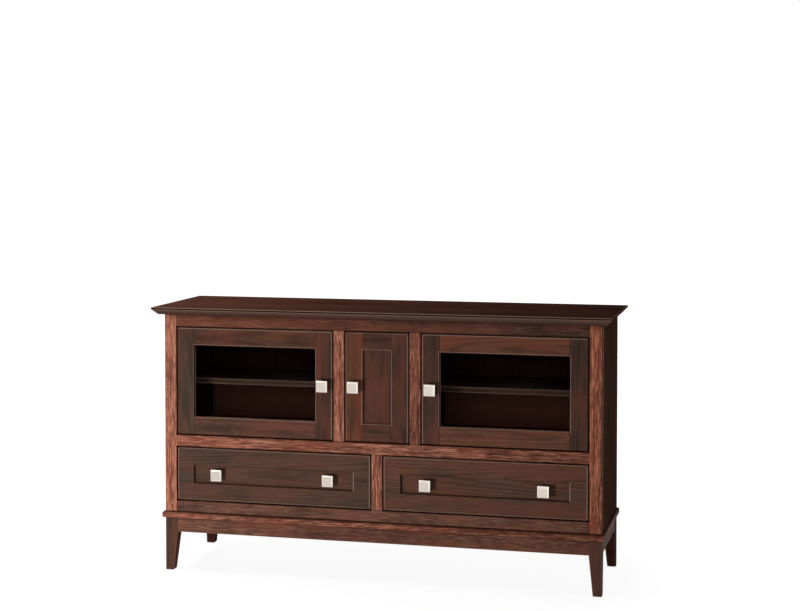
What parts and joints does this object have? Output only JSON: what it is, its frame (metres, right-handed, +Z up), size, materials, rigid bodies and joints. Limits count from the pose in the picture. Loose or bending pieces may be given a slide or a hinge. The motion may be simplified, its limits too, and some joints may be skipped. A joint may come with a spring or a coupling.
{
  "type": "tv console",
  "caption": "Long low face-framed console with glazed doors, a panelled centre door and drawers, on a legged base with tapered feet.",
  "frame": {"origin": "on the floor, under the middle of the overall box", "axes": "+X to the viewer's right along the width, +Y towards the back, +Z up; the doors and drawers face -Y"},
  "size_m": [1.596, 0.474, 0.9229],
  "materials": {
    "frame_wood": "red-brown stain, satin lacquer",
    "door_wood": "dark brown stain, satin lacquer",
    "top_wood": "dark red-brown stain, semi-gloss lacquer",
    "case_wood": "dark brown stain, matt lacquer",
    "drawer_box_wood": "clear lacquer",
    "pane_glass": "clear",
    "satin_nickel": "satin nickel plate"
  },
  "bodies": {
    "case": {"top": "top_wood", "face_stile_left": "frame_wood", "face_stile_right": "frame_wood", "face_rail_top": "frame_wood", "face_rail_middle": "frame_wood", "face_rail_bottom": "frame_wood", "mullion_left": "frame_wood", "mullion_right": "frame_wood", "drawer_mullion": "frame_wood", "side_panel_left": "case_wood", "side_panel_right": "case_wood", "partition_left": "case_wood", "partition_right": "case_wood", "drawer_partition": "case_wood", "bottom_panel": "case_wood", "deck": "case_wood", "back_panel": "case_wood", "shelf_left": "case_wood", "shelf_centre": "case_wood", "shelf_right": "case_wood", "leg_front_left": "door_wood", "leg_front_right": "door_wood", "leg_rear_left": "door_wood", "leg_rear_right": "door_wood", "apron_front": "frame_wood", "apron_rear": "frame_wood", "apron_left": "frame_wood", "apron_right": "frame_wood", "waist_front": "frame_wood", "waist_left": "frame_wood", "waist_right": "frame_wood", "waist_rear": "frame_wood", "drawer_guide_left": "frame_wood", "drawer_guide_right": "frame_wood"},
    "door_left": {"door_left_stile_left": "door_wood", "door_left_stile_right": "door_wood", "door_left_rail_top": "door_wood", "door_left_rail_bottom": "door_wood", "door_left_glass": "pane_glass", "door_left_knob": "satin_nickel"},
    "door_right": {"door_right_stile_left": "door_wood", "door_right_stile_right": "door_wood", "door_right_rail_top": "door_wood", "door_right_rail_bottom": "door_wood", "door_right_glass": "pane_glass", "door_right_knob": "satin_nickel"},
    "door_centre": {"door_centre_stile_left": "door_wood", "door_centre_stile_right": "door_wood", "door_centre_rail_top": "door_wood", "door_centre_rail_bottom": "door_wood", "door_centre_panel": "door_wood", "door_centre_knob": "satin_nickel"},
    "drawer_left": {"drawer_left_front": "door_wood", "drawer_left_box": "drawer_box_wood", "drawer_left_knob_left": "satin_nickel", "drawer_left_knob_right": "satin_nickel"},
    "drawer_right": {"drawer_right_front": "door_wood", "drawer_right_box": "drawer_box_wood", "drawer_right_knob_left": "satin_nickel", "drawer_right_knob_right": "satin_nickel"}
  },
  "joints": [
    {"name": "door_left_swing", "type": "hinge", "parent": "case", "child": "door_left", "pos_m": [-0.707, -0.193, 0.666], "axis": [0, 0, -1], "range_deg": [0, 105]},
    {"name": "door_right_swing", "type": "hinge", "parent": "case", "child": "door_right", "pos_m": [0.707, -0.193, 0.666], "axis": [0, 0, 1], "range_deg": [0, 105]},
    {"name": "door_centre_swing", "type": "hinge", "parent": "case", "child": "door_centre", "pos_m": [0.1013, -0.193, 0.666], "axis": [0, 0, 1], "range_deg": [0, 100]},
    {"name": "drawer_left_slide", "type": "slide", "parent": "case", "child": "drawer_left", "axis": [0, -1, 0], "range_m": [0, 0.3]},
    {"name": "drawer_right_slide", "type": "slide", "parent": "case", "child": "drawer_right", "axis": [0, -1, 0], "range_m": [0, 0.3]}
  ]
}
